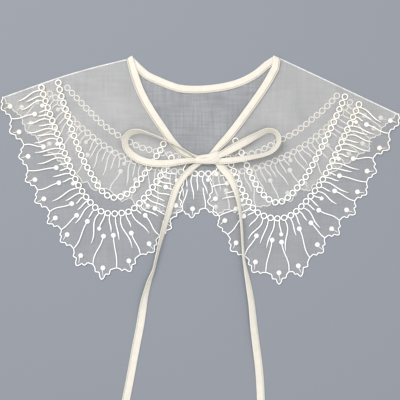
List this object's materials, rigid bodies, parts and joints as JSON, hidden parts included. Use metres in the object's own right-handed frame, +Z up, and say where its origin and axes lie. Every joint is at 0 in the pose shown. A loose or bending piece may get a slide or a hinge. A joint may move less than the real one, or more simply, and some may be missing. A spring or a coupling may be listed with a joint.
{
  "type": "lace collar",
  "caption": "Scalloped embroidered organza collar laid flat, folded at both shoulders, its bound neck edge tied in a bow with two long ties.",
  "frame": {"origin": "on the surface that the collar lies on, under the middle of its width and depth, ties left out", "axes": "+Z up off the surface, +Y from the bow towards the back of the neck, +X towards the right-hand shoulder in the picture, along the collar's width"},
  "size_m": [0.4967, 0.4615, 0.0137],
  "materials": {
    "collar_cloth": "sheer crisp organza",
    "neck_binding": "matt bias-woven strip",
    "bow_knot": "matt bias-woven strip",
    "bow_loop_left": "matt bias-woven strip",
    "bow_loop_right": "matt bias-woven strip",
    "tie_end_left": "matt bias-woven strip",
    "tie_end_right": "matt bias-woven strip",
    "ring_chain_left_outer": "satin-stitched thread",
    "ring_chain_left_inner": "satin-stitched thread",
    "ring_chain_right_outer": "satin-stitched thread",
    "ring_chain_right_inner": "satin-stitched thread"
  },
  "bodies": {
    "root": {"collar_cloth": "collar_cloth", "neck_binding": "neck_binding", "bow_knot": "bow_knot", "bow_loop_left": "bow_loop_left", "bow_loop_right": "bow_loop_right", "tie_end_left": "tie_end_left", "tie_end_right": "tie_end_right", "ring_chain_left_outer": "ring_chain_left_outer", "ring_chain_left_inner": "ring_chain_left_inner", "ring_chain_right_outer": "ring_chain_right_outer", "ring_chain_right_inner": "ring_chain_right_inner"}
  },
  "joints": []
}
